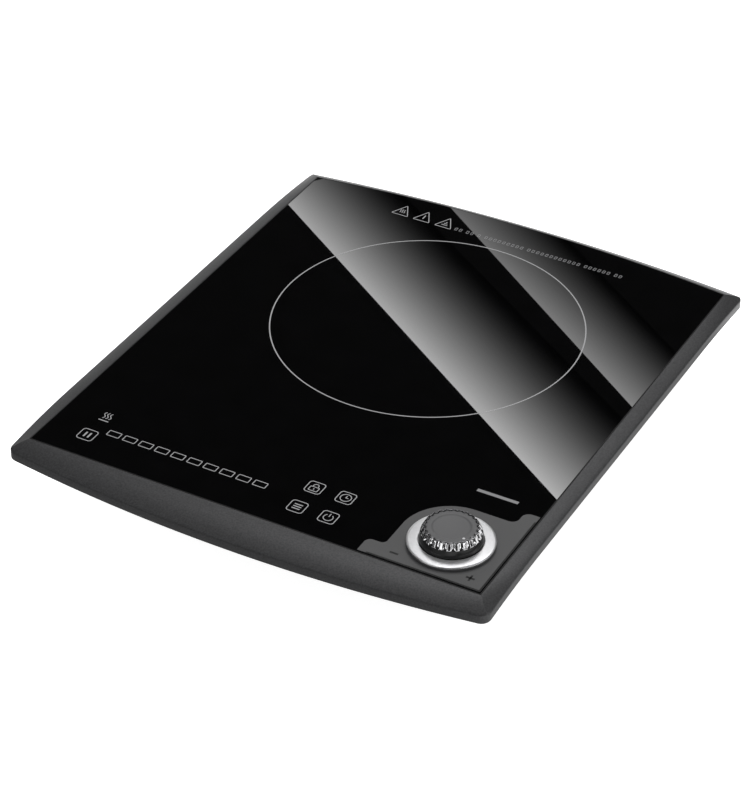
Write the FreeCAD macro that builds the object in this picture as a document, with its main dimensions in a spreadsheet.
import FreeCAD, Part
import math
import os
import re
import Sketcher
from FreeCAD import Rotation, Vector

# Portable single-zone induction hot plate: a black ceramic glass in a painted frame, with touch
# keys and one turning knob at the front. Millimetres, +Z up, feet on z = 0, front towards -Y,
# origin under the middle of the frame's plan.

doc = FreeCAD.newDocument("hot_plate_burner")

# ---------------------------------------------------------------- driving dimensions

SIZES = {
    # frame plan and skin
    "frame_half": 144.3, "frame_front": -175.37, "frame_front_bow": 9.81,
    "frame_back": 175.37, "frame_back_bow": 11.33, "frame_corner": 5.5,
    "frame_sheet": 1.3, "side_drop": 1.74, "crown_radius": 37.0, "rim_wall": 5.1,
    "front_droop_start": -106.9, "front_droop_radius": 520.0,
    "back_droop_start": 102.6, "back_droop_radius": 694.0,
    # glass and what lies on or under it
    "glass_top": 50.0, "glass_thick": 4.0, "glass_half": 135.75, "glass_front": -156.5,
    "glass_back": 165.8, "glass_back_bow": 9.8, "glass_gap": 0.35, "seal_thick": 0.6,
    "seal_inset": 1.0, "seal_width": 6.0,
    "ledge_width": 10.0, "ledge_thick": 1.6, "web_thick": 1.2, "ledge_back": 143.0,
    "film_thick": 0.3, "film_right": 134.4, "film_bottom": -154.8, "film_left": 64.3,
    "film_tab_top": -143.8, "film_lobe_left": 74.5, "film_lobe_top": -96.4,
    "film_side_left": 125.7, "film_side_top": -85.7, "film_tab_round": 3.6,
    "film_hollow_round": 3.0, "film_lobe_round": 28.0, "film_side_round": 4.3,
    # knob
    "knob_x": 104.1, "knob_y": -127.3, "ring_radius": 23.4, "ring_height": 2.9,
    "ring_edge": 2.0, "ring_lip": 0.9, "ring_lip_top": 2.6, "ring_chamfer": 0.2,
    "ring_hollow": 17.1, "ring_floor": 0.5,
    "bush_radius": 4.4, "bush_hole": 3.05, "hole_play": 0.3,
    "skirt_radius": 16.8, "skirt_height": 5.2, "skirt_lift": 0.9, "band_radius": 16.1,
    "band_straight": 7.9, "shoulder_radius": 15.5, "shoulder_height": 9.7,
    "band_top": 10.9, "flute_count": 24, "flute_radius": 1.3, "flute_reach": 16.77,
    "flute_lean": 18.4, "flute_long": 6.0,
    "knob_wall": 1.6, "hub_radius": 5.0, "hub_low": 4.0, "hub_bore": 3.02,
    "cap_radius": 14.3, "cap_base": 9.4, "cap_top": 11.4, "cap_dish_radius": 10.2,
    "cap_dish_depth": 0.35, "scallop_radius": 1.4, "scallop_reach": 15.4,
    "shaft_radius": 3.0, "shaft_bottom": 39.0, "shaft_top": 59.0, "shaft_flat": 1.5,
    "encoder_side": 13.0, "encoder_deep": 7.0, "encoder_gap": 0.6, "bush_top": 53.7,
    "nut_radius": 6.9, "nut_thick": 2.0, "washer_radius": 7.5, "washer_thick": 0.6,
    # lower housing
    "tub_top": 43.5, "tub_bottom": 6.0, "tub_wall": 2.2, "tub_floor": 2.0,
    "tub_top_half": 142.3, "tub_low_half": 117.0, "tub_top_front": -158.5,
    "tub_low_front": -122.5, "tub_top_back": 158.5, "tub_low_back": 158.5,
    "tub_top_round": 14.0, "tub_low_round": 22.0,
    "boss_radius": 4.5, "post_radius": 3.6, "post_end": 40.8, "boss_end": 40.6,
    "case_side_x": 129.5, "case_front_y": -136.0, "case_mid_y": 8.0, "case_back_y": 128.0,
    "case_end_x": 58.0, "case_low_y": -149.6, "case_high_y": 148.5,
    "screw_head": 3.0, "screw_head_thick": 1.8, "screw_shank": 1.5, "pilot": 1.53,
    "coil_screw": 12.0, "board_screw": 4.6, "fan_screw": 4.0, "clamp_screw": 10.0,
    "pilot_deep": 3.6, "screw_way": 1.75, "screw_seat": 35.5, "screw_tip": 44.0,
    "head_way": 3.6, "short_screw": 8.0,
    "foot_x": 102.0, "foot_front": -103.0, "foot_back": 130.0, "foot_radius": 11.0,
    "foot_low_radius": 9.6, "foot_round": 1.5, "foot_peg": 2.6, "foot_barb": 3.1,
    "foot_hole": 2.65, "barb_low": 8.2, "barb_top": 9.6,
    "slot_wide": 3.0, "slot_step": 6.4, "vent_low": 14.0, "vent_tall": 16.0,
    "eye_slots": 7, "vent_slots": 24, "vent_middle": -22.4,
    # coil stack
    "coil_y": 44.33, "coil_outer": 74.0, "coil_inner": 20.0, "coil_thick": 3.6,
    "coil_turns": 14, "coil_groove": 0.5, "mica_thick": 0.8, "mica_gap": 0.5,
    "carrier_radius": 78.0, "carrier_thick": 2.4, "carrier_hole": 13.0, "ferrite_long": 46.0,
    "ferrite_wide": 11.0, "ferrite_thick": 4.0, "ferrite_count": 8, "ferrite_middle": 46.5,
    "ear_radius": 6.5, "ear_reach": 82.5, "tower_radius": 4.6, "spring_radius": 3.4,
    "spring_wire": 0.45, "spring_turns": 3, "tower_drop": 6.0, "ear_angle": 45.0,
    "sensor_radius": 4.0, "sensor_thick": 1.4, "cup_radius": 9.0, "cup_depth": 6.6,
    "cup_flange": 15.0, "cup_flange_thick": 1.2, "mica_hole": 10.0,
    # control electronics
    "board_thick": 1.6, "panel_half": 82.0, "panel_x": -36.0, "panel_front": -142.5,
    "panel_back": -105.0, "panel_z": 36.4, "key_spring_radius": 3.6, "key_wire": 0.5,
    "key_turns": 4, "slider_pad_long": 8.0, "slider_pad_wide": 5.2, "slider_pitch": 10.13,
    "slider_x": -98.3, "slider_y": -130.9, "left_key_x": -110.7, "left_key_y": -138.2,
    "mid_key_x": 19.7, "right_key_x": 38.2, "low_key_y": -138.2, "high_key_y": -119.5,
    "display_x": -30.0, "display_y": -116.0, "display_long": 30.0, "display_wide": 12.0,
    "display_tall": 6.5, "lamp_side": 2.0, "lamp_tall": 1.2, "lamp_beside": 6.0,
    "lamp_behind": 5.0, "tray_thick": 1.8,
    "tray_edge": 0.8, "tray_z": 33.0, "tray_stand_x": 66.0, "buzzer_x": -70.0, "buzzer_y": -114.0,
    "buzzer_radius": 6.0,
    "buzzer_tall": 5.5, "encoder_board_side": 30.0,
    # power electronics
    "power_left": -104.0, "power_right": 72.0, "power_front": -6.0, "power_back": 94.0,
    "power_z": 12.0, "stand_radius": 3.2, "stand_inset": 5.0, "sink_x": -67.0,
    "sink_long": 58.0, "sink_y": 34.0, "sink_run": 74.0, "sink_low": 19.2, "sink_base": 3.0,
    "sink_top": 31.0, "fin_thick": 1.4, "fin_count": 11, "fin_foot": 4.0,
    "device_long": 20.0, "device_wide": 15.6, "device_tall": 5.0, "switch_x": -82.0,
    "bridge_x": -52.0, "device_y": 20.0, "lead_thin": 1.0,
    "film_cap_long": 30.0, "film_cap_wide": 13.0, "film_cap_tall": 17.0,
    "film_cap_x": -14.0, "film_cap_front": 8.0, "film_cap_rear": 28.0,
    "mains_cap_long": 32.0, "mains_cap_wide": 17.0, "mains_cap_tall": 17.0,
    "mains_cap_x": 14.0, "mains_cap_y": 60.0,
    "choke_x": 44.0, "choke_y": 16.0, "choke_ring": 12.0, "choke_core": 4.0,
    "choke_wire": 5.4, "choke_sector": 140.0, "supply_x": -14.0, "supply_y": 78.0,
    "supply_core": 16.0, "supply_tall": 15.0, "can_radius": 5.0, "can_tall": 15.0,
    "can_x": 21.0, "can_step": 13.0, "can_y": 78.0,
    "fuse_x": 58.0, "fuse_y": 66.0, "fuse_radius": 2.6, "fuse_long": 20.0, "fuse_cap": 5.0,
    "varistor_x": 40.0, "varistor_y": 66.0, "varistor_radius": 6.5, "varistor_thick": 4.0,
    "block_x": 52.0, "block_y": 84.0, "block_long": 20.0, "block_wide": 10.0,
    "block_tall": 12.0, "post_x": 66.0, "post_side": 3.0, "post_tall": 6.0, "post_apart": 4.0,
    "plug_long": 6.0, "plug_wide": 4.0, "plug_tall": 8.0, "plug_row": -3.0,
    "fan_plug_x": -8.0, "panel_plug_x": 6.0, "sensor_plug_x": 10.0,
    # fan
    "fan_x": -62.0, "fan_y": -66.0, "fan_z": 10.6, "fan_half": 42.0, "fan_tall": 18.4,
    "fan_sheet": 1.6, "outlet_wide": 40.0,
    "fan_bore": 36.5, "fan_eye": 25.0, "rotor_radius": 34.0, "rotor_hub": 12.0,
    "rotor_tall": 14.0, "rotor_gap": 1.2, "blade_count": 30, "blade_long": 8.5,
    "blade_thick": 1.1, "motor_radius": 10.5, "motor_tall": 9.0, "pin_radius": 1.5,
    "pin_bore": 1.55, "fan_ear": 4.5, "fan_ear_at": 44.0,
    # cord inlet
    "inlet_x": 88.0, "inlet_z": 24.0, "inlet_hole": 6.2, "inlet_flange": 8.6,
    "inlet_bore": 3.6, "inlet_out": 3.5, "inlet_in": 3.0, "clamp_long": 28.0,
    "clamp_wide": 8.0, "clamp_thick": 3.0, "clamp_z": 27.7, "clamp_y": 142.0,
    "clamp_screw_x": 9.5,
    # wiring
    "lead_radius": 1.5, "wire_radius": 1.0, "ribbon_radius": 1.8, "wire_bend": 4.0,
}

sheet = doc.addObject("Spreadsheet::Sheet", "Sizes")
for row, (alias, amount) in enumerate(SIZES.items(), start=1):
    sheet.set(f"A{row}", alias)
    sheet.set(f"B{row}", str(amount))
    sheet.setAlias(f"B{row}", alias)
doc.recompute()

ALIAS = re.compile(r"(?<![\w.])([a-z][a-z0-9_]*)(?![\w(])")
NODES = []


def size(alias):
    """The value of one named cell, for shapes set by Part's functions."""
    return float(sheet.get(alias))


def sized(formula):
    """A formula of named sizes, written so that the document reads them from the sheet."""
    return ALIAS.sub(r"Sizes.\1", str(formula))


def bind(thing, **formulas):
    for name, formula in formulas.items():
        thing.setExpression(name, sized(formula))


def place(thing, x=0, y=0, z=0):
    for axis, formula in zip("xyz", (x, y, z)):
        thing.setExpression(f"Placement.Base.{axis}", sized(formula))


def node(label, thing):
    """Name a finished sub-part: the label is also its file's name."""
    thing.Label = label
    NODES.append(thing)
    return thing


# ---------------------------------------------------------------- primitives and booleans


def box(long, wide, tall, x=0, y=0, z=0):
    """A block centred on x and y, standing on z."""
    block = doc.addObject("Part::Box", "Block")
    bind(block, Length=long, Width=wide, Height=tall)
    place(block, f"({x}) - ({long}) / 2", f"({y}) - ({wide}) / 2", z)
    return block


def turned_box(long, wide, tall, x, y, z, angle):
    """A block centred on x and y, turned about its own upright axis."""
    block = doc.addObject("Part::Box", "TurnedBlock")
    bind(block, Length=long, Width=wide, Height=tall)
    block.Placement.Rotation = Rotation(Vector(0, 0, 1), angle)
    cosine = round(math.cos(math.radians(angle)), 9)
    sine = round(math.sin(math.radians(angle)), 9)
    left = f"({x}) - ({long}) / 2 * ({cosine}) + ({wide}) / 2 * ({sine})"
    front = f"({y}) - ({long}) / 2 * ({sine}) - ({wide}) / 2 * ({cosine})"
    place(block, left, front, z)
    return block


def rod(radius, tall, x=0, y=0, z=0):
    bar = doc.addObject("Part::Cylinder", "Rod")
    bind(bar, Radius=radius, Height=tall)
    place(bar, x, y, z)
    return bar


def leaning_rod(radius, long, reach, angle, lean, x, y, z):
    """A bar at reach from an upright axis on x and y; it leans towards that axis as it rises."""
    cosine = round(math.cos(math.radians(angle)), 9)
    sine = round(math.sin(math.radians(angle)), 9)
    bar = rod(radius, long, f"({x}) + ({reach}) * ({cosine})", f"({y}) + ({reach}) * ({sine})", z)
    bar.Placement.Rotation = Rotation(Vector(sine, -cosine, 0), lean)
    return bar


def rod_along_y(radius, long, x, y, z):
    """A bar that starts at y and runs towards the back."""
    bar = rod(radius, long, x, y, z)
    bar.Placement.Rotation = Rotation(Vector(1, 0, 0), -90)
    return bar


def cone(low_radius, high_radius, tall, x, y, z):
    spike = doc.addObject("Part::Cone", "Cone")
    bind(spike, Radius1=low_radius, Radius2=high_radius, Height=tall)
    place(spike, x, y, z)
    return spike


def fuse(*shapes):
    joined = doc.addObject("Part::MultiFuse", "Joined")
    joined.Shapes = list(shapes)
    joined.Refine = True
    return joined


def group(*solids):
    """Separate solids that share one node."""
    together = doc.addObject("Part::Compound", "Group")
    together.Links = list(solids)
    return together


def cut(base, *tools):
    left = doc.addObject("Part::Cut", "Left")
    left.Base = base
    left.Tool = tools[0] if len(tools) == 1 else fuse(*tools)
    return left


def common(first, second):
    shared = doc.addObject("Part::MultiCommon", "Shared")
    shared.Shapes = [first, second]
    return shared


# ---------------------------------------------------------------- sketches and bodies


def origin_feature(body, role):
    return next(item for item in body.Origin.OriginFeatures if item.Role == role)


def tie(sketch, name, constraint, formula):
    index = sketch.addConstraint(constraint)
    sketch.renameConstraint(index, name)
    sketch.setExpression(f"Constraints.{name}", sized(formula))


def draw_polygon(sketch, corners):
    """A closed outline with straight sides; each corner is tied to two formulas."""
    count = len(corners)
    turn = 2 * math.pi / count
    spots = [Vector(10 * math.cos(turn * i), 10 * math.sin(turn * i), 0) for i in range(count)]
    first = sketch.GeometryCount
    for i in range(count):
        sketch.addGeometry(Part.LineSegment(spots[i], spots[(i + 1) % count]), False)
    for i in range(count):
        sketch.addConstraint(Sketcher.Constraint("Coincident", first + i, 2, first + (i + 1) % count, 1))
    for i, (across, up) in enumerate(corners):
        spot = spots[i]
        tie(sketch, f"across{first + i}", Sketcher.Constraint("DistanceX", first + i, 1, spot.x), across)
        tie(sketch, f"up{first + i}", Sketcher.Constraint("DistanceY", first + i, 1, spot.y), up)


def sketch_on(body, role):
    sketch = body.newObject("Sketcher::SketchObject", "Outline")
    sketch.AttachmentSupport = [(origin_feature(body, role), "")]
    sketch.MapMode = "FlatFace"
    return sketch


def lathe(corners, x=0, y=0, z=0):
    """A body turned about its upright axis from corners given as (radius, height)."""
    body = doc.addObject("PartDesign::Body", "Turned")
    sketch = sketch_on(body, "XZ_Plane")
    draw_polygon(sketch, corners)
    turned = body.newObject("PartDesign::Revolution", "Revolution")
    turned.Profile = sketch
    turned.ReferenceAxis = (origin_feature(body, "Z_Axis"), [""])
    turned.Angle = 360
    place(body, x, y, z)
    return body


def bowed_plate(half, front, back, bow, thick, z):
    """A padded plate with straight sides and front and a back edge bowed outwards by bow."""
    body = doc.addObject("PartDesign::Body", "BowedPlate")
    sketch = sketch_on(body, "XY_Plane")
    ends = [Vector(-100, 90, 0), Vector(-100, -90, 0), Vector(100, -90, 0), Vector(100, 90, 0)]
    for start, end in zip(ends, ends[1:]):
        sketch.addGeometry(Part.LineSegment(start, end), False)
    sketch.addGeometry(Part.Arc(ends[3], Vector(0, 100, 0), ends[0]), False)
    for i in range(2):
        sketch.addConstraint(Sketcher.Constraint("Coincident", i, 2, i + 1, 1))
    sketch.addConstraint(Sketcher.Constraint("Coincident", 2, 2, 3, 1))
    sketch.addConstraint(Sketcher.Constraint("Coincident", 3, 2, 0, 1))
    tie(sketch, "left_x", Sketcher.Constraint("DistanceX", 0, 1, -100), f"-({half})")
    tie(sketch, "left_y", Sketcher.Constraint("DistanceY", 0, 1, 90), f"({back}) - ({bow})")
    tie(sketch, "front_x", Sketcher.Constraint("DistanceX", 0, 2, -100), f"-({half})")
    tie(sketch, "front_y", Sketcher.Constraint("DistanceY", 0, 2, -90), front)
    tie(sketch, "right_x", Sketcher.Constraint("DistanceX", 2, 1, 100), half)
    tie(sketch, "right_y", Sketcher.Constraint("DistanceY", 2, 1, -90), front)
    tie(sketch, "end_x", Sketcher.Constraint("DistanceX", 2, 2, 100), half)
    tie(sketch, "end_y", Sketcher.Constraint("DistanceY", 2, 2, 90), f"({back}) - ({bow})")
    bend = f"(({half}) * ({half}) + ({bow}) * ({bow})) / (2 * ({bow}))"
    tie(sketch, "bend", Sketcher.Constraint("Radius", 3, 505), bend)
    pad = body.newObject("PartDesign::Pad", "Pad")
    pad.Profile = sketch
    pad.setExpression("Length", sized(thick))
    place(body, 0, 0, z)
    return body


def rounded_block(half_low, front_low, back_low, round_low, z_low, high, inset):
    """A ruled loft between two rounded rectangles, the lower given first and the upper in high.

    inset is taken off every side of both, for a wall's inner face."""
    sections = []
    for half, front, back, rounding, z in ((half_low, front_low, back_low, round_low, z_low), high):
        sketch = doc.addObject("Sketcher::SketchObject", "Section")
        draw_rounded(sketch, f"{half} - ({inset})", f"{front} + ({inset})", f"{back} - ({inset})",
                     f"{rounding} - ({inset})")
        place(sketch, 0, 0, z)
        sections.append(sketch)
    loft = doc.addObject("Part::Loft", "Loft")
    loft.Sections = sections
    loft.Solid = True
    loft.Ruled = True
    return loft


def draw_rounded(sketch, half, front, back, rounding):
    """A rectangle with four equal round corners, symmetric in x."""
    far, near, arc_radius = 100, 85, 15
    straight = [((-near, -far), (near, -far)), ((far, -near), (far, near)),
                ((near, far), (-near, far)), ((-far, near), (-far, -near))]
    arcs = [((near, -near), -90), ((near, near), 0), ((-near, near), 90), ((-near, -near), 180)]
    for (start, end), (centre, angle) in zip(straight, arcs):
        sketch.addGeometry(Part.LineSegment(Vector(*start, 0), Vector(*end, 0)), False)
        circle = Part.Circle(Vector(*centre, 0), Vector(0, 0, 1), arc_radius)
        first = math.radians(angle)
        sketch.addGeometry(Part.ArcOfCircle(circle, first, first + math.pi / 2), False)
    for side in range(4):
        line, arc, following = 2 * side, 2 * side + 1, (2 * side + 2) % 8
        sketch.addConstraint(Sketcher.Constraint("Tangent", line, 2, arc, 1))
        sketch.addConstraint(Sketcher.Constraint("Tangent", arc, 2, following, 1))
        kind = "Horizontal" if side % 2 == 0 else "Vertical"
        sketch.addConstraint(Sketcher.Constraint(kind, line))
        if side:
            sketch.addConstraint(Sketcher.Constraint("Equal", 1, arc))
    tie(sketch, "rounding", Sketcher.Constraint("Radius", 1, arc_radius), rounding)
    tie(sketch, "front", Sketcher.Constraint("DistanceY", 0, 1, -far), front)
    tie(sketch, "right", Sketcher.Constraint("DistanceX", 2, 1, far), half)
    tie(sketch, "back", Sketcher.Constraint("DistanceY", 4, 1, far), back)
    tie(sketch, "left", Sketcher.Constraint("DistanceX", 6, 1, -far), f"-({half})")


# ---------------------------------------------------------------- top frame

# The frame is one pressed and painted skin. Its surface falls from the glass to a crest that
# runs round the plan, bulging a little on the way, and turns down there into a short wall. The
# crest is level along the sides and sinks along large arcs towards the front and the back.


TOOL_OVER = 5.0      # how far cutting shapes reach past the frame's height
TOOL_ASIDE = 20.0    # how far they reach past its plan
WEB_DOWN = 0.6       # the web under the skin ends this far below the glass top
WEB_CLEAR = 1.5      # the wall's trimming stops this far outside the web


def bow_y(x, middle, bow, half):
    """The y of an edge that is bowed outwards from its two ends to middle."""
    bend = (half ** 2 + bow ** 2) / (2 * bow)
    fall = bend - math.sqrt(bend ** 2 - x ** 2)
    return middle + fall if middle < 0 else middle - fall


def crest_z(y):
    """How far the crest lies under the glass top at a place along the plan."""
    near = max(0.0, size("front_droop_start") - y)
    far = max(0.0, y - size("back_droop_start"))
    return (size("glass_top") - size("side_drop")
            - near ** 2 / (2 * size("front_droop_radius")) - far ** 2 / (2 * size("back_droop_radius")))


def rail(points, stations):
    curve = Part.BSplineCurve()
    curve.interpolate(Points=points, Parameters=stations)
    return curve


def frame_block(inset, drop):
    """The solid under the frame's skin, shrunk by inset and lowered by drop for its inner face."""
    half = size("frame_half") - inset
    front = size("frame_front") + inset
    back = size("frame_back") - inset
    glass_half = size("glass_half")
    glass_y = {"front": size("glass_front"), "back": size("glass_back")}
    count = 24
    stations = [i / count for i in range(count + 1)]

    def outer(side, along):
        across = 2 * along - 1
        if side in ("front", "back"):
            x = half * across
            y = (bow_y(x, front, size("frame_front_bow"), half) if side == "front"
                 else bow_y(x, back, size("frame_back_bow"), half))
        else:
            x = half if side == "right" else -half
            low = front + size("frame_front_bow")
            high = back - size("frame_back_bow")
            y = low + (high - low) * along
        return Vector(x, y, crest_z(y) - drop)

    def inner(side, along):
        across = 2 * along - 1
        z = size("glass_top") - drop
        if side == "front":
            return Vector(glass_half * across, glass_y["front"], z)
        if side == "back":
            x = glass_half * across
            return Vector(x, bow_y(x, glass_y["back"], size("glass_back_bow"), glass_half), z)
        low = glass_y["front"]
        high = glass_y["back"] - size("glass_back_bow")
        x = glass_half if side == "right" else -glass_half
        return Vector(x, low + (high - low) * along, z)

    def bulge(start, end):
        """The quadratic curve's handle that gives the strip the frame's crown."""
        width = math.hypot(end.x - start.x, end.y - start.y)
        return (start + end) * 0.5 + Vector(0, 0, width ** 2 / (4 * size("crown_radius")))

    faces = []
    base_edges = []
    opening_edges = []
    for side in ("front", "right", "back", "left"):
        crest = [outer(side, along) for along in stations]
        edge = [inner(side, along) for along in stations]
        handle = [bulge(a, b) for a, b in zip(edge, crest)]
        rails = [rail(points, stations) for points in (edge, handle, crest)]
        poles = [list(row) for row in zip(*(curve.getPoles() for curve in rails))]
        skin = Part.BSplineSurface()
        skin.buildFromPolesMultsKnots(poles, rails[0].getMultiplicities(), [3, 3], rails[0].getKnots(),
                                      [0.0, 1.0], False, False, rails[0].Degree, 2)
        faces.append(skin.toShape())
        foot = rail([Vector(p.x, p.y, 0) for p in crest], stations)
        faces.append(Part.makeRuledSurface(rails[2].toShape(), foot.toShape()))
        base_edges.append(foot.toShape())
        opening_edges.append(rails[0].toShape())
    for edges in (base_edges, opening_edges):
        faces.append(Part.Face(Part.Wire(Part.__sortEdges__(edges))))
    shell = Part.makeCompound(faces)
    shell.sewShape(0.01)
    solid = Part.makeSolid(shell.Shells[0] if shell.Shells else Part.Shell(shell.Faces))
    if solid.Volume < 0:
        solid.reverse()
    return solid


def rounded_plan(inset):
    """A tall prism of the frame's plan with its four corners rounded."""
    half = size("frame_half") - inset
    front = size("frame_front") + inset
    back = size("frame_back") - inset
    low = front + size("frame_front_bow")
    high = back - size("frame_back_bow")
    edges = [Part.Arc(Vector(-half, low, 0), Vector(0, front, 0), Vector(half, low, 0)).toShape(),
             Part.LineSegment(Vector(half, low, 0), Vector(half, high, 0)).toShape(),
             Part.Arc(Vector(half, high, 0), Vector(0, back, 0), Vector(-half, high, 0)).toShape(),
             Part.LineSegment(Vector(-half, high, 0), Vector(-half, low, 0)).toShape()]
    prism = Part.Face(Part.Wire(edges)).extrude(Vector(0, 0, size("glass_top") + TOOL_OVER))
    corners = [edge for edge in prism.Edges
               if abs(abs(edge.CenterOfMass.x) - half) < 0.01
               and edge.Vertexes[0].Z != edge.Vertexes[-1].Z]
    return prism.makeFillet(size("frame_corner") - inset, corners)


def under_rim():
    """Everything below the frame's lower edge, which follows the crest at the wall's height."""
    reach = size("frame_half") + TOOL_ASIDE
    front = size("frame_front") - TOOL_ASIDE
    back = size("frame_back") + TOOL_ASIDE
    count = 40
    stations = [i / count for i in range(count + 1)]
    edge = []
    for along in stations:
        y = front + (back - front) * along
        edge.append(Vector(-reach, y, crest_z(y) - size("rim_wall")))
    top = rail(edge, stations).toShape()
    floor_near = Vector(-reach, front, -TOOL_OVER)
    floor_far = Vector(-reach, back, -TOOL_OVER)
    sides = [top, Part.LineSegment(edge[-1], floor_far).toShape(),
             Part.LineSegment(floor_far, floor_near).toShape(),
             Part.LineSegment(floor_near, edge[0]).toShape()]
    return Part.Face(Part.Wire(sides)).extrude(Vector(2 * reach, 0, 0))


def glass_prism(grow, low, high):
    """A prism of the glass opening's plan, grown by grow on every side."""
    half = size("glass_half") + grow
    front = size("glass_front") - grow
    rear = size("glass_back") + grow
    corner = rear - size("glass_back_bow")
    edges = [Part.LineSegment(Vector(-half, corner, low), Vector(-half, front, low)).toShape(),
             Part.LineSegment(Vector(-half, front, low), Vector(half, front, low)).toShape(),
             Part.LineSegment(Vector(half, front, low), Vector(half, corner, low)).toShape(),
             Part.Arc(Vector(half, corner, low), Vector(0, rear, low),
                      Vector(-half, corner, low)).toShape()]
    return Part.Face(Part.Wire(edges)).extrude(Vector(0, 0, high - low))


CASE_SCREWS = [(side + "case_side_x", row) for side in ("", "-")
               for row in ("case_front_y", "case_mid_y", "case_back_y")]
CASE_SCREWS += [(side + "case_end_x", row) for side in ("", "-") for row in ("case_low_y", "case_high_y")]


def signed(text):
    return -size(text[1:]) if text.startswith("-") else size(text)


def make_top_frame():
    sheet_thick = size("frame_sheet")
    skin = frame_block(0, 0).common(rounded_plan(0))
    hollow = frame_block(sheet_thick, sheet_thick).common(rounded_plan(sheet_thick))
    shell = skin.cut(hollow)
    seat = size("glass_top") - size("glass_thick") - size("seal_thick")
    ledge_low = seat - size("ledge_thick")
    web = glass_prism(size("web_thick"), ledge_low, size("glass_top") - WEB_DOWN)
    body = shell.fuse(web)
    for x, y in CASE_SCREWS:
        post = Part.makeCylinder(size("post_radius"), seat - size("post_end"),
                                 Vector(signed(x), signed(y), size("post_end")))
        body = body.fuse(post)
    body = body.cut(glass_prism(0, seat, size("glass_top") + TOOL_OVER))
    window_half = size("glass_half") - size("ledge_width")
    window_front = size("glass_front") + size("ledge_width")
    window = Part.makeBox(2 * window_half, size("ledge_back") - window_front, size("glass_top") + TOOL_OVER,
                          Vector(-window_half, window_front, 0))
    body = body.cut(window)
    for x, y in CASE_SCREWS:
        hole = Part.makeCylinder(size("pilot"), size("pilot_deep"),
                                 Vector(signed(x), signed(y), size("post_end") - 0.1))
        body = body.cut(hole)
    kept = glass_prism(size("web_thick") + WEB_CLEAR, 0, size("glass_top") + TOOL_OVER)
    trimmed = body.cut(under_rim().cut(kept))
    return trimmed.removeSplitter()


frame = doc.addObject("Part::Feature", "TopFrame")
frame.Shape = make_top_frame()
node("top_frame", frame)

# ---------------------------------------------------------------- glass, seal and printed film

glass = bowed_plate("glass_half - glass_gap", "glass_front + glass_gap", "glass_back - glass_gap",
                    "glass_back_bow", "glass_thick", "glass_top - glass_thick")
glass_hole = rod("bush_radius + hole_play", "3 * glass_thick", "knob_x", "knob_y",
                 "glass_top - 2 * glass_thick")
node("glass_top", cut(glass, glass_hole))

seal = bowed_plate("glass_half - seal_inset", "glass_front + seal_inset", "glass_back - seal_inset",
                   "glass_back_bow", "seal_thick", "glass_top - glass_thick - seal_thick")
seal_front = "(glass_front + seal_inset + seal_width)"
seal_window = box("2 * (glass_half - seal_inset - seal_width)", f"ledge_back + 4 - {seal_front}",
                  "3 * seal_thick", 0, f"(ledge_back + 4 + {seal_front}) / 2",
                  "glass_top - glass_thick - 2 * seal_thick")
node("glass_seal", cut(seal, seal_window))


def rounded_outline(corners, z):
    """A closed wire through (x, y, radius) corners, each rounded by a tangent arc."""
    count = len(corners)
    ends = []
    edges = []
    for i, (x, y, radius) in enumerate(corners):
        corner = Vector(x, y, z)
        before = (Vector(*corners[i - 1][:2], z) - corner).normalize()
        after = (Vector(*corners[(i + 1) % count][:2], z) - corner).normalize()
        if not radius:
            ends.append((corner, corner))
            continue
        half_angle = before.getAngle(after) / 2
        reach = radius / math.tan(half_angle)
        middle = (before + after).normalize() * (radius / math.sin(half_angle) - radius)
        start, end = corner + before * reach, corner + after * reach
        edges.append(Part.Arc(start, corner + middle, end).toShape())
        ends.append((start, end))
    for i in range(count):
        start, end = ends[i][1], ends[(i + 1) % count][0]
        if start.distanceToPoint(end) > 0.001:
            edges.append(Part.LineSegment(start, end).toShape())
    return Part.Wire(Part.__sortEdges__(edges))


# The grey film round the knob is stuck to the glass: a lobe about the knob with a low tab to the
# left and a tall one along the right edge.
film_outline = [
    (size("film_right"), size("film_bottom"), 0),
    (size("film_right"), size("film_side_top"), 0),
    (size("film_side_left"), size("film_side_top"), size("film_side_round")),
    (size("film_side_left"), size("film_lobe_top"), size("film_side_round")),
    (size("film_lobe_left"), size("film_lobe_top"), size("film_lobe_round")),
    (size("film_lobe_left"), size("film_tab_top"), size("film_hollow_round")),
    (size("film_left"), size("film_tab_top"), size("film_tab_round")),
    (size("film_left"), size("film_bottom"), 0),
]
film = doc.addObject("Part::Feature", "Film")
film_face = Part.Face(rounded_outline(film_outline, size("glass_top")))
film_hole = Part.makeCylinder(size("bush_radius") + size("hole_play"), 2,
                              Vector(size("knob_x"), size("knob_y"), size("glass_top") - 1))
film.Shape = film_face.extrude(Vector(0, 0, size("film_thick"))).cut(film_hole)
node("control_overlay", film)

# ---------------------------------------------------------------- knob and its encoder

KNOB_BASE = "(glass_top + film_thick)"
AT_KNOB = ("knob_x", "knob_y")

# Spun metal ring: an upright wall, a rounded lip, a nearly flat top and a thin floor clamped by
# the encoder's nut.
node("knob_ring", lathe([
    ("bush_radius + hole_play", "0"), ("ring_radius", "0"), ("ring_radius", "ring_edge"),
    ("ring_radius - ring_lip / 3", "ring_edge + (ring_lip_top - ring_edge) * 2 / 3"),
    ("ring_radius - ring_lip", "ring_lip_top"), ("ring_hollow + ring_chamfer", "ring_height"),
    ("ring_hollow", "ring_height - ring_chamfer"), ("ring_hollow", "ring_floor"),
    ("bush_radius + hole_play", "ring_floor")], *AT_KNOB, KNOB_BASE))

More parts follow.
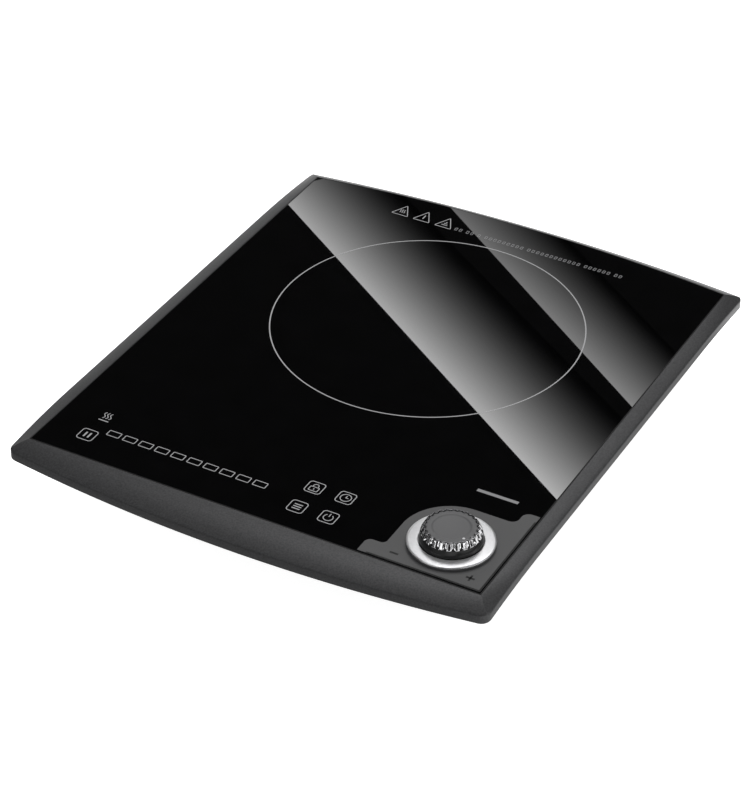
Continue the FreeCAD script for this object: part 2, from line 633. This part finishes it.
# Plated knob: smooth skirt, a band whose sloping shoulder is fluted and a hub that grips the shaft.
knob_turned = lathe([
    ("hub_bore", "hub_low"), ("hub_radius", "hub_low"), ("hub_radius", "cap_base - knob_wall"),
    ("band_radius - knob_wall - flute_radius", "cap_base - knob_wall"),
    ("skirt_radius - knob_wall", "skirt_lift"), ("skirt_radius", "skirt_lift"),
    ("skirt_radius", "skirt_height"), ("band_radius", "skirt_height + 0.4"),
    ("band_radius", "band_straight"), ("shoulder_radius", "shoulder_height"),
    ("cap_radius + 0.2", "band_top"), ("cap_radius + 0.1", "band_top"), ("cap_radius + 0.1", "cap_base"),
    ("hub_bore", "cap_base")], *AT_KNOB, KNOB_BASE)
flutes = []
scallops = []
for i in range(int(size("flute_count"))):
    angle = 360.0 * i / size("flute_count")
    cosine = round(math.cos(math.radians(angle)), 9)
    sine = round(math.sin(math.radians(angle)), 9)
    flutes.append(leaning_rod("flute_radius", "flute_long", "flute_reach", angle, size("flute_lean"),
                              *AT_KNOB, f"{KNOB_BASE} + band_straight"))
    scallops.append(rod("scallop_radius", "cap_top", f"knob_x + scallop_reach * ({cosine})",
                        f"knob_y + scallop_reach * ({sine})", f"{KNOB_BASE} + cap_base - 1"))
node("knob_body", cut(knob_turned, *flutes))

# Moulded cap pressed into the knob, its edge scalloped to match the flutes and its top dished.
cap_turned = lathe([
    ("0", "cap_base"), ("cap_radius", "cap_base"), ("cap_radius", "cap_top - 0.5"),
    ("cap_radius - 0.5", "cap_top"), ("cap_dish_radius", "cap_top"),
    ("cap_dish_radius - 1.2", "cap_top - cap_dish_depth"), ("0", "cap_top - cap_dish_depth")],
    *AT_KNOB, KNOB_BASE)
node("knob_cap", cut(cap_turned, *scallops))

shaft_bar = rod("shaft_radius", "shaft_top - shaft_bottom", *AT_KNOB, "shaft_bottom")
shaft_flat = box("4 * shaft_radius", "shaft_flat", "shaft_top", "knob_x",
                 "knob_y + shaft_radius", f"{KNOB_BASE} + hub_low")
node("encoder_shaft", cut(shaft_bar, shaft_flat))

encoder_top = "(glass_top - glass_thick - encoder_gap)"
encoder_block = box("encoder_side", "encoder_side", "encoder_deep", *AT_KNOB,
                    f"{encoder_top} - encoder_deep")
bush = rod("bush_radius", f"bush_top - {encoder_top}", *AT_KNOB, encoder_top)
shaft_way = rod("bush_hole", "bush_top", *AT_KNOB, "shaft_bottom - 0.1")
node("encoder_body", cut(fuse(encoder_block, bush), shaft_way))

washer_z = f"{KNOB_BASE} + ring_floor"
washer_hole = rod("bush_radius", "3 * washer_thick", *AT_KNOB, f"{washer_z} - washer_thick")
node("encoder_washer", cut(rod("washer_radius", "washer_thick", *AT_KNOB, washer_z), washer_hole))
hexagon = doc.addObject("Part::Prism", "Hexagon")
bind(hexagon, Circumradius="nut_radius", Height="nut_thick")
place(hexagon, *AT_KNOB, f"{washer_z} + washer_thick")
nut_hole = rod("bush_radius", "3 * nut_thick", *AT_KNOB, f"{washer_z} - nut_thick")
node("encoder_nut", cut(hexagon, nut_hole))
node("encoder_board", box("encoder_board_side", "encoder_board_side", "board_thick", *AT_KNOB,
                          f"{encoder_top} - encoder_deep - board_thick"))

# ---------------------------------------------------------------- lower housing

tub_high = ("tub_top_half", "tub_top_front", "tub_top_back", "tub_top_round", "tub_top")
tub_outer = rounded_block("tub_low_half", "tub_low_front", "tub_low_back", "tub_low_round",
                          "tub_bottom", tub_high, "0")
tub_inner = rounded_block("tub_low_half", "tub_low_front", "tub_low_back", "tub_low_round",
                          "tub_bottom + tub_floor", tub_high[:4] + ("tub_top + 0.5",), "tub_wall")
FLOOR = "(tub_bottom + tub_floor)"
TOWERS = []
for i in range(4):
    turn = math.radians(size("ear_angle") + 90 * i)
    TOWERS.append((f"ear_reach * ({round(math.cos(turn), 9)})",
                   f"coil_y + ear_reach * ({round(math.sin(turn), 9)})"))
CARRIER_Z = "(glass_top - glass_thick - mica_gap - mica_thick - coil_thick - carrier_thick)"
BOARD_STANDS = [(x, y) for x in ("power_left + stand_inset", "power_right - stand_inset")
                for y in ("power_front + stand_inset", "power_back - stand_inset")]
FAN_STANDS = [(f"fan_x {side} fan_ear_at", f"fan_y {other} fan_ear_at") for side, other in ("-+", "+-")]
TRAY_STANDS = [(f"panel_x {side} tray_stand_x", "(panel_front + panel_back) / 2") for side in "-+"]
CLAMP_POSTS = [(f"inlet_x {side} clamp_screw_x", "clamp_y") for side in "-+"]

columns = [rod("boss_radius", "boss_end - tub_bottom", x, y, "tub_bottom") for x, y in CASE_SCREWS]
columns += [rod("tower_radius", f"{CARRIER_Z} - tower_drop - tub_bottom", x, y, "tub_bottom")
            for x, y in TOWERS]
columns += [rod("stand_radius", "power_z - tub_bottom", x, y, "tub_bottom") for x, y in BOARD_STANDS]
columns += [rod("stand_radius", "fan_z - tub_bottom", x, y, "tub_bottom") for x, y in FAN_STANDS]
columns += [rod("boss_radius", "tray_z - tub_bottom", x, y, "tub_bottom") for x, y in TRAY_STANDS]
columns += [rod("boss_radius", "clamp_z - tub_bottom", x, y, "tub_bottom") for x, y in CLAMP_POSTS]

openings = [rod("screw_way", "glass_top", x, y, 0) for x, y in CASE_SCREWS]
openings += [rod("head_way", "screw_seat", x, y, 0) for x, y in CASE_SCREWS]
openings += [rod("foot_hole", "2 * barb_low", f"{side}foot_x", y, 0) for side in ("", "-")
             for y in ("foot_front", "foot_back")]
openings += [rod("pilot", "tower_radius * 2", x, y,
                 f"{CARRIER_Z} - tower_drop - tower_radius * 2 + 0.5") for x, y in TOWERS]
openings += [rod("pilot", "3.5", x, y, "power_z - 3.4") for x, y in BOARD_STANDS]
openings += [rod("pilot", "3", x, y, "fan_z - 2.9") for x, y in FAN_STANDS]
openings += [rod("pilot", "short_screw", x, y, "tray_z - short_screw + 0.1") for x, y in TRAY_STANDS]
openings += [rod("pilot", "short_screw", x, y, "clamp_z - short_screw + 0.1") for x, y in CLAMP_POSTS]
for i in range(int(size("eye_slots"))):
    step = i - (size("eye_slots") - 1) / 2
    half_chord = math.sqrt(size("fan_eye") ** 2 - (step * size("slot_step")) ** 2)
    openings.append(box("slot_wide", f"{round(2 * half_chord, 3)} - slot_wide", "3 * tub_floor",
                        f"fan_x + ({step}) * slot_step", "fan_y", "tub_bottom - tub_floor"))
for i in range(int(size("vent_slots"))):
    step = i - (size("vent_slots") - 1) / 2
    openings.append(box("slot_wide", "6 * tub_wall", "vent_tall", f"vent_middle + ({step}) * slot_step",
                        "tub_top_back", "vent_low"))
openings.append(rod_along_y("inlet_hole", "6 * tub_wall", "inlet_x", "tub_top_back - 3 * tub_wall",
                            "inlet_z"))
node("bottom_housing", cut(fuse(cut(tub_outer, tub_inner), common(fuse(*columns), tub_outer)), *openings))

feet = [lathe([("0", "0"), ("foot_low_radius", "0"), ("foot_radius", "foot_round"),
               ("foot_radius", "tub_bottom"), ("foot_peg", "tub_bottom"), ("foot_peg", "barb_low"),
               ("foot_barb", "barb_low + 0.2"), ("foot_peg - 0.4", "barb_top"), ("0", "barb_top")],
              f"{side}foot_x", y, 0)
        for side in ("", "-") for y in ("foot_front", "foot_back")]
node("rubber_feet", group(*feet))


def screws(spots, seat, tip):
    """Pan-head screws as separate solids: the head lies beyond seat, the shank runs to tip."""
    pieces = []
    for x, y in spots:
        up = f"({tip}) - ({seat})"
        pieces.append(fuse(rod("screw_shank", up, x, y, seat),
                           cone("screw_head * 0.8", "screw_head", "screw_head_thick", x, y,
                                f"({seat}) - screw_head_thick")))
    return pieces


def screws_down(spots, seat, long):
    """Pan-head screws driven downwards: the head stands on seat."""
    return [fuse(rod("screw_shank", long, x, y, f"({seat}) - ({long})"),
                 cone("screw_head", "screw_head * 0.8", "screw_head_thick", x, y, seat))
            for x, y in spots]


node("housing_screws", group(*screws(CASE_SCREWS, "screw_seat", "screw_tip")))

# ---------------------------------------------------------------- coil stack

coil_plain = lathe([("coil_inner", "0"), ("coil_outer", "0"), ("coil_outer", "coil_thick"),
                    ("coil_inner", "coil_thick")], 0, "coil_y", f"{CARRIER_Z} + carrier_thick")
rings = []
for i in range(1, int(size("coil_turns"))):
    middle = f"(coil_inner + (coil_outer - coil_inner) * {i} / coil_turns)"
    top = f"{CARRIER_Z} + carrier_thick + coil_thick - coil_groove"
    ring_outer = rod(f"{middle} + coil_groove / 2", "2 * coil_groove", 0, "coil_y", top)
    ring_inner = rod(f"{middle} - coil_groove / 2", "4 * coil_groove", 0, "coil_y", f"{top} - coil_groove")
    rings.append(cut(ring_outer, ring_inner))
node("coil_winding", cut(coil_plain, *rings))

carrier_parts = [rod("carrier_radius", "carrier_thick", 0, "coil_y", CARRIER_Z)]
carrier_parts += [rod("ear_radius", "carrier_thick", x, y, CARRIER_Z) for x, y in TOWERS]
carrier_holes = [rod("carrier_hole", "3 * carrier_thick", 0, "coil_y", f"{CARRIER_Z} - carrier_thick")]
carrier_holes += [rod("screw_way", "3 * carrier_thick", x, y, f"{CARRIER_Z} - carrier_thick")
                  for x, y in TOWERS]
node("coil_carrier", cut(fuse(*carrier_parts), *carrier_holes))

ferrites = []
for i in range(int(size("ferrite_count"))):
    angle = 360.0 / size("ferrite_count") * (i + 0.5)
    turn = math.radians(angle)
    ferrites.append(turned_box("ferrite_long", "ferrite_wide", "ferrite_thick",
                               f"ferrite_middle * ({round(math.cos(turn), 9)})",
                               f"coil_y + ferrite_middle * ({round(math.sin(turn), 9)})",
                               f"{CARRIER_Z} - ferrite_thick", angle))
node("ferrite_bars", group(*ferrites))

mica_z = "(glass_top - glass_thick - mica_gap - mica_thick)"
mica_hole = rod("mica_hole", "3 * mica_thick", 0, "coil_y", f"{mica_z} - mica_thick")
node("mica_sheet", cut(rod("carrier_radius - 2", "mica_thick", 0, "coil_y", mica_z), mica_hole))

cup_top = "(glass_top - glass_thick - sensor_thick)"
cup_low = f"({cup_top} - cup_depth)"
node("sensor_holder", lathe([
    ("0", f"{cup_low}"), ("cup_radius", f"{cup_low}"), ("cup_radius", f"{CARRIER_Z} + carrier_thick"),
    ("cup_flange", f"{CARRIER_Z} + carrier_thick"),
    ("cup_flange", f"{CARRIER_Z} + carrier_thick + cup_flange_thick"),
    ("cup_radius", f"{CARRIER_Z} + carrier_thick + cup_flange_thick"), ("cup_radius", cup_top),
    ("0", cup_top)], 0, "coil_y", 0))
node("temperature_sensor", rod("sensor_radius", "sensor_thick", 0, "coil_y", cup_top))

node("coil_screws", group(*screws_down(TOWERS, f"{CARRIER_Z} + carrier_thick", "coil_screw")))

probe = doc.addObject("Part::Box", "Probe")


def value(formula):
    """The number that a formula of named sizes gives, read back through a scratch block."""
    probe.setExpression("Length", sized(f"1000 + ({formula})"))
    doc.recompute([probe])
    return probe.Length.Value - 1000


def coil_spring(radius, wire, turns, tall, x, y, z):
    """A round-wire helical spring standing on z; its wire stays inside its height."""
    pitch = (tall - 2 * wire) / turns
    path = Part.makeHelix(pitch, tall - 2 * wire, radius)
    section = Part.Wire(Part.makeCircle(wire, Vector(radius, 0, 0), Vector(0, 1, 0)))
    spring = Part.Wire(path).makePipeShell([section], True, True)
    spring.translate(Vector(x, y, z + wire))
    return spring


support_springs = []
spring_low = value(f"{CARRIER_Z} - tower_drop")
for x, y in TOWERS:
    support_springs.append(coil_spring(size("spring_radius"), size("spring_wire"), size("spring_turns"),
                                      size("tower_drop"), value(x), value(y), spring_low))
springs = doc.addObject("Part::Feature", "Springs")
springs.Shape = Part.makeCompound(support_springs)
node("coil_springs", springs)

# ---------------------------------------------------------------- control electronics

PANEL_TOP = "(panel_z + board_thick)"
KEY_TALL = "(glass_top - glass_thick - panel_z - board_thick)"
SLIDER_COUNT = 10
KEYS = [("left_key_x", "left_key_y")] + [(x, y) for x in ("mid_key_x", "right_key_x")
                                        for y in ("low_key_y", "high_key_y")]
panel_long = "2 * panel_half"
panel_wide = "panel_back - panel_front"
panel_y = "(panel_front + panel_back) / 2"
panel_blank = box(panel_long, panel_wide, "board_thick", "panel_x", panel_y, "panel_z")
panel_holes = [rod("screw_way", "4 * board_thick", x, y, "panel_z - board_thick") for x, y in TRAY_STANDS]
node("control_board", cut(panel_blank, *panel_holes))

tray_blank = box(f"{panel_long} + 2 * tray_edge", f"{panel_wide} + 2 * tray_edge", "panel_z - tray_z",
                 "panel_x", panel_y, "tray_z")
tray_hollow = box(f"{panel_long} - 2 * tray_edge", f"{panel_wide} - 2 * tray_edge", "panel_z - tray_z",
                  "panel_x", panel_y, "tray_z + tray_thick")
tray_stands = [rod("boss_radius", "panel_z - tray_z", x, y, "tray_z") for x, y in TRAY_STANDS]
tray_holes = [rod("screw_way", "4 * (panel_z - tray_z)", x, y, "tray_z - 2") for x, y in TRAY_STANDS]
node("control_tray", cut(fuse(cut(tray_blank, tray_hollow), *tray_stands), *tray_holes))
INNER_SCREWS = screws_down(TRAY_STANDS, PANEL_TOP, "short_screw + panel_z - tray_z")

key_springs = [coil_spring(size("key_spring_radius"), size("key_wire"), size("key_turns"), value(KEY_TALL),
                           value(x), value(y), value(PANEL_TOP)) for x, y in KEYS]
touch_springs = doc.addObject("Part::Feature", "TouchSprings")
touch_springs.Shape = Part.makeCompound(key_springs)
node("touch_springs", touch_springs)
node("slider_pads", group(*[
    box("slider_pad_long", "slider_pad_wide", KEY_TALL, f"slider_x + slider_pitch * {i}", "slider_y",
        PANEL_TOP) for i in range(SLIDER_COUNT)]))
lamps = [box("lamp_side", "lamp_side", "lamp_tall", f"{x} + lamp_beside", y, PANEL_TOP)
         for x, y in KEYS]
lamps += [box("lamp_side", "lamp_side", "lamp_tall", f"slider_x + slider_pitch * {i}",
              "slider_y + lamp_behind", PANEL_TOP) for i in range(SLIDER_COUNT)]
node("indicator_lamps", group(*lamps))
node("display_module", box("display_long", "display_wide", "display_tall", "display_x", "display_y",
                           PANEL_TOP))
node("buzzer", rod("buzzer_radius", "buzzer_tall", "buzzer_x", "buzzer_y", PANEL_TOP))

# ---------------------------------------------------------------- power electronics

BOARD_TOP = "(power_z + board_thick)"
power_x = "(power_left + power_right) / 2"
power_y = "(power_front + power_back) / 2"
power_blank = box("power_right - power_left", "power_back - power_front", "board_thick", power_x,
                  power_y, "power_z")
power_holes = [rod("screw_way", "4 * board_thick", x, y, "power_z - board_thick")
               for x, y in BOARD_STANDS]
node("power_board", cut(power_blank, *power_holes))
INNER_SCREWS += screws_down(BOARD_STANDS, BOARD_TOP, "board_screw")

sink_parts = [box("sink_long", "sink_run", "sink_base", "sink_x", "sink_y", "sink_low")]
fins = int(size("fin_count"))
for i in range(fins):
    offset = f"(sink_long - fin_thick) * ({round(i / (fins - 1) - 0.5, 6)})"
    sink_parts.append(box("fin_thick", "sink_run", "sink_top - sink_low", f"sink_x + {offset}", "sink_y",
                          "sink_low"))
sink_parts += [box("fin_foot", "fin_foot", f"sink_low - {BOARD_TOP} + 1",
                   f"sink_x {a} (sink_long - fin_foot) / 2", f"sink_y {b} (sink_run - fin_foot) / 2",
                   BOARD_TOP) for a in "-+" for b in "-+"]
node("heat_sink", fuse(*sink_parts))


def flat_device(x, legs):
    """A power device lying under the heat sink, its legs bent down into the board."""
    pieces = [box("device_wide", "device_long", "device_tall", x, "device_y", "sink_low - device_tall")]
    for i in range(legs):
        leg_x = f"({x}) + ({i} - {(legs - 1) / 2}) * 4 * lead_thin"
        front = "device_y - device_long / 2"
        pieces.append(box("lead_thin", "3 * lead_thin", "lead_thin", leg_x, f"{front} - 1.5 * lead_thin",
                          "sink_low - device_tall / 2"))
        pieces.append(box("lead_thin", "lead_thin", f"sink_low - device_tall / 2 - {BOARD_TOP} + lead_thin",
                          leg_x, f"{front} - 2.5 * lead_thin", BOARD_TOP))
    return fuse(*pieces)


node("power_transistor", flat_device("switch_x", 3))
node("bridge_rectifier", flat_device("bridge_x", 4))
node("resonant_capacitors", group(
    box("film_cap_long", "film_cap_wide", "film_cap_tall", "film_cap_x", "film_cap_front", BOARD_TOP),
    box("film_cap_long", "film_cap_wide", "film_cap_tall", "film_cap_x", "film_cap_rear", BOARD_TOP)))
node("mains_capacitor", box("mains_cap_long", "mains_cap_wide", "mains_cap_tall", "mains_cap_x",
                            "mains_cap_y", BOARD_TOP))

choke_z = f"{BOARD_TOP} + choke_wire"


def torus(ring, wire, sweep, angle, x, y, z):
    ring_shape = doc.addObject("Part::Torus", "Ring")
    bind(ring_shape, Radius1=ring, Radius2=wire, Angle3=sweep)
    ring_shape.Placement.Rotation = Rotation(Vector(0, 0, 1), angle)
    place(ring_shape, x, y, z)
    return ring_shape


AT_CHOKE = ("choke_x", "choke_y", choke_z)
node("choke_core", torus("choke_ring", "choke_core", 360, 0, *AT_CHOKE))
node("choke_windings", group(*[
    cut(torus("choke_ring", "choke_wire", "choke_sector", angle, *AT_CHOKE),
        torus("choke_ring", "choke_core", 360, 0, *AT_CHOKE)) for angle in (20, 200)]))

supply_body = box("supply_core * 1.3", "supply_core", "supply_tall", "supply_x", "supply_y", BOARD_TOP)
supply_windows = [box("supply_core * 0.3", "supply_core * 0.5", "3 * supply_tall",
                      f"supply_x {side} supply_core * 0.3", "supply_y", 0) for side in "-+"]
node("supply_transformer_core", cut(supply_body, *supply_windows))
bobbin = [box("supply_core * 0.3", "supply_core * 0.5", "supply_tall - 2",
              f"supply_x {side} supply_core * 0.3", "supply_y", f"{BOARD_TOP} + 1") for side in "-+"]
node("supply_transformer_winding", group(*bobbin))
node("smoothing_capacitors", group(*[
    rod("can_radius", "can_tall", f"can_x + ({step}) * can_step", "can_y", BOARD_TOP)
    for step in (-1, 0, 1)]))
fuse_z = f"{BOARD_TOP} + fuse_radius + 0.6"
node("mains_fuse_tube", rod_along_y("fuse_radius - 0.3", "fuse_long - 2 * fuse_cap", "fuse_x",
                                    "fuse_y - fuse_long / 2 + fuse_cap", fuse_z))
node("mains_fuse_caps", group(*[
    rod_along_y("fuse_radius", "fuse_cap", "fuse_x", f"fuse_y - fuse_long / 2 + {shift}", fuse_z)
    for shift in ("0", "fuse_long - fuse_cap")]))
node("surge_disc", rod_along_y("varistor_radius", "varistor_thick", "varistor_x", "varistor_y",
                               f"{BOARD_TOP} + varistor_radius"))
block = box("block_long", "block_wide", "block_tall", "block_x", "block_y", BOARD_TOP)
ways = [rod("screw_head", "block_tall", f"block_x {side} block_long / 4", "block_y",
            f"{BOARD_TOP} + block_tall / 2") for side in "-+"]
node("terminal_block", cut(block, *ways))
node("coil_posts", group(*[box("post_side", "post_side", "post_tall", "post_x", y, BOARD_TOP)
                           for y in ("coil_y - post_apart", "coil_y + post_apart")]))

# ---------------------------------------------------------------- cooling fan

AT_FAN = ("fan_x", "fan_y")
fan_side = "2 * fan_half"
fan_shell = fuse(box(fan_side, fan_side, "fan_tall", *AT_FAN, "fan_z"),
                 *[rod("fan_ear", "fan_sheet", x, y, "fan_z") for x, y in FAN_STANDS])
fan_space = [
    rod("fan_bore", "fan_tall", *AT_FAN, "fan_z + fan_sheet"),
    box("outlet_wide", "fan_half + 2", "fan_tall", "fan_x - fan_bore + outlet_wide / 2",
        "fan_y + fan_half / 2 + 1", "fan_z + fan_sheet"),
    rod("fan_eye", "fan_tall", *AT_FAN, "fan_z - fan_sheet"),
    *[rod("screw_way", "4 * fan_sheet", x, y, "fan_z - fan_sheet") for x, y in FAN_STANDS]]
node("fan_housing", cut(fan_shell, *fan_space))
cover_z = "(fan_z + fan_tall)"
motor = rod("motor_radius", "motor_tall", *AT_FAN, f"{cover_z} - motor_tall")
motor_bore = rod("pin_bore", "2 * motor_tall", *AT_FAN, f"{cover_z} - motor_tall - 1")
node("fan_motor", cut(motor, motor_bore))
node("fan_cover", box(fan_side, fan_side, "fan_sheet", *AT_FAN, cover_z))

rotor_low = "(fan_z + fan_sheet + rotor_gap)"
rotor_hub = lathe([
    ("0", "0"), ("rotor_hub", "0"), ("rotor_hub", "rotor_tall - 1.2"), ("rotor_radius", "rotor_tall - 1.2"),
    ("rotor_radius", "rotor_tall"), ("rotor_hub - 0.8", "rotor_tall"), ("rotor_hub - 0.8", "1.2"),
    ("pin_radius", "1.2"), ("pin_radius", "rotor_tall"), ("0", "rotor_tall")], *AT_FAN, rotor_low)
blades = []
for i in range(int(size("blade_count"))):
    angle = 360.0 * i / size("blade_count")
    turn = math.radians(angle)
    blades.append(turned_box("blade_long", "blade_thick", "rotor_tall - 1",
                             f"fan_x + (rotor_radius - blade_long / 2) * ({round(math.cos(turn), 9)})",
                             f"fan_y + (rotor_radius - blade_long / 2) * ({round(math.sin(turn), 9)})",
                             rotor_low, angle + 28))
node("fan_rotor", fuse(rotor_hub, *blades))
INNER_SCREWS += screws_down(FAN_STANDS, "fan_z + fan_sheet", "fan_screw")

# ---------------------------------------------------------------- cord inlet, without a cord

inlet_face = "tub_top_back"
inner_face = "(tub_top_back - tub_wall)"
bush_parts = [rod_along_y("inlet_flange", "inlet_out", "inlet_x", inlet_face, "inlet_z"),
              rod_along_y("inlet_hole", "tub_wall", "inlet_x", inner_face, "inlet_z"),
              rod_along_y("inlet_hole + 1", "inlet_in", "inlet_x", f"{inner_face} - inlet_in", "inlet_z")]
inlet_way = rod_along_y("inlet_bore", "4 * inlet_flange", "inlet_x", "tub_top_back - 2 * inlet_flange",
                        "inlet_z")
node("cord_inlet_bush", cut(fuse(*bush_parts), inlet_way))
clamp_bar = box("clamp_long", "clamp_wide", "clamp_thick", "inlet_x", "clamp_y", "clamp_z")
clamp_holes = [rod("screw_way", "4 * clamp_thick", x, y, "clamp_z - clamp_thick") for x, y in CLAMP_POSTS]
node("cord_clamp", cut(clamp_bar, *clamp_holes))
INNER_SCREWS += screws_down(CLAMP_POSTS, "clamp_z + clamp_thick", "clamp_screw")
node("inner_screws", group(*INNER_SCREWS))

# ---------------------------------------------------------------- internal wiring


def wire_along(points, radius):
    """A round wire along straight runs that are joined by tangent arcs."""
    spots = [Vector(*point) for point in points]
    edges = []
    last = spots[0]
    for before, corner, after in zip(spots, spots[1:], spots[2:]):
        back = (before - corner).normalize()
        ahead = (after - corner).normalize()
        half_angle = back.getAngle(ahead) / 2
        reach = min(size("wire_bend") / math.tan(half_angle), 0.45 * (before - corner).Length,
                    0.45 * (after - corner).Length)
        bend = reach * math.tan(half_angle)
        middle = corner + (back + ahead).normalize() * (bend / math.sin(half_angle) - bend)
        edges.append(Part.LineSegment(last, corner + back * reach).toShape())
        edges.append(Part.Arc(corner + back * reach, middle, corner + ahead * reach).toShape())
        last = corner + ahead * reach
    edges.append(Part.LineSegment(last, spots[-1]).toShape())
    path = Part.Wire(edges)
    section = Part.Wire(Part.makeCircle(radius, spots[0], spots[1] - spots[0]))
    swept = path.makePipeShell([section], True, True)
    expected = math.pi * radius ** 2 * path.Length
    assert abs(swept.Volume - expected) < 0.02 * expected, "a wire lost volume"
    return swept


def wiring(label, routes, radius):
    strands = doc.addObject("Part::Feature", "Strands")
    strands.Shape = Part.makeCompound([wire_along(points, radius) for points in routes])
    return node(label, strands)


# Where the leads turn, chosen to stay clear of the parts beside them.
LEAD_OUT = 5.0
LEAD_OVER_BOARD = 4.0
FAN_LEAD_Y = -50.0
FAN_LEAD_Z = 18.0
PANEL_START = (0.0, -112.0)
PANEL_DOWN_Z = 25.0
PANEL_TURN = (0.0, -40.0, 27.0)
PANEL_OVER_Z = 29.0
ENCODER_ROW = -120.0
ENCODER_START_Z = 37.6
ENCODER_TURN_X = 70.0
ENCODER_END = (62.0, -114.0, 37.2)
SENSOR_DOWN_Z = 32.0
SENSOR_OVER_Z = 29.0

coil_y = size("coil_y")
coil_wire_z = value(f"{CARRIER_Z} + carrier_thick + coil_thick / 2")
board_top_z = value(BOARD_TOP)
coil_side = size("carrier_radius") + LEAD_OUT
post_face = size("post_x") + size("post_side") / 2
wiring("coil_leads", [
    [(size("coil_outer"), coil_y + shift, coil_wire_z), (coil_side, coil_y + shift, coil_wire_z),
     (coil_side, coil_y + shift, board_top_z + LEAD_OVER_BOARD),
     (post_face, coil_y + shift, board_top_z + LEAD_OVER_BOARD)]
    for shift in (-size("post_apart"), size("post_apart"))], size("lead_radius"))

fan_side_x = size("fan_x") + size("fan_half")
fan_plug_x = size("fan_plug_x")
wiring("fan_lead", [[(fan_side_x, FAN_LEAD_Y, FAN_LEAD_Z), (fan_plug_x, FAN_LEAD_Y, FAN_LEAD_Z),
                     (fan_plug_x, size("plug_row") - size("plug_wide") / 2, FAN_LEAD_Z)]],
       size("wire_radius"))
node("board_plugs", group(*[
    box("plug_long", "plug_wide", "plug_tall", x, y, BOARD_TOP)
    for x, y in (("fan_plug_x", "plug_row"), ("panel_plug_x", "plug_row"), ("sensor_plug_x", "coil_y"))]))

plug_top = board_top_z + size("plug_tall")
panel_plug = (size("panel_plug_x"), size("plug_row"))
wiring("panel_cable", [[(*PANEL_START, size("tray_z")), (*PANEL_START, PANEL_DOWN_Z), PANEL_TURN,
                        (*panel_plug, PANEL_OVER_Z), (*panel_plug, plug_top)]], size("ribbon_radius"))

board_edge = size("panel_x") + size("panel_half")
encoder_edge = size("knob_x") - size("encoder_board_side") / 2
wiring("encoder_cable", [[
    (encoder_edge, ENCODER_ROW, ENCODER_START_Z), (ENCODER_TURN_X, ENCODER_ROW, ENCODER_START_Z),
    ENCODER_END, (board_edge, ENCODER_END[1], ENCODER_END[2])]], size("wire_radius") * 0.7)

sensor_plug_x = size("sensor_plug_x")
wiring("sensor_lead", [[
    (0, coil_y, value(cup_low)), (0, coil_y, SENSOR_DOWN_Z), (sensor_plug_x, coil_y, SENSOR_OVER_Z),
    (sensor_plug_x, coil_y, plug_top)]], size("wire_radius"))

# ---------------------------------------------------------------- checks and files

doc.removeObject(probe.Name)
doc.recompute()
for item in doc.Objects:
    failed = [state for state in item.State if state in ("Invalid", "Error")]
    assert not failed, f"{item.Label} failed: {failed}"
os.makedirs("parts", exist_ok=True)
for piece in NODES:
    assert not piece.Shape.isNull() and piece.Shape.isValid(), f"{piece.Label} has no sound shape"
    piece.Shape.exportStep(f"parts/{piece.Label}.step")
    print(f"{piece.Label}: {len(piece.Shape.Solids)} solid, {piece.Shape.Volume:.0f} mm3")
print(len(NODES), "sub-parts written")
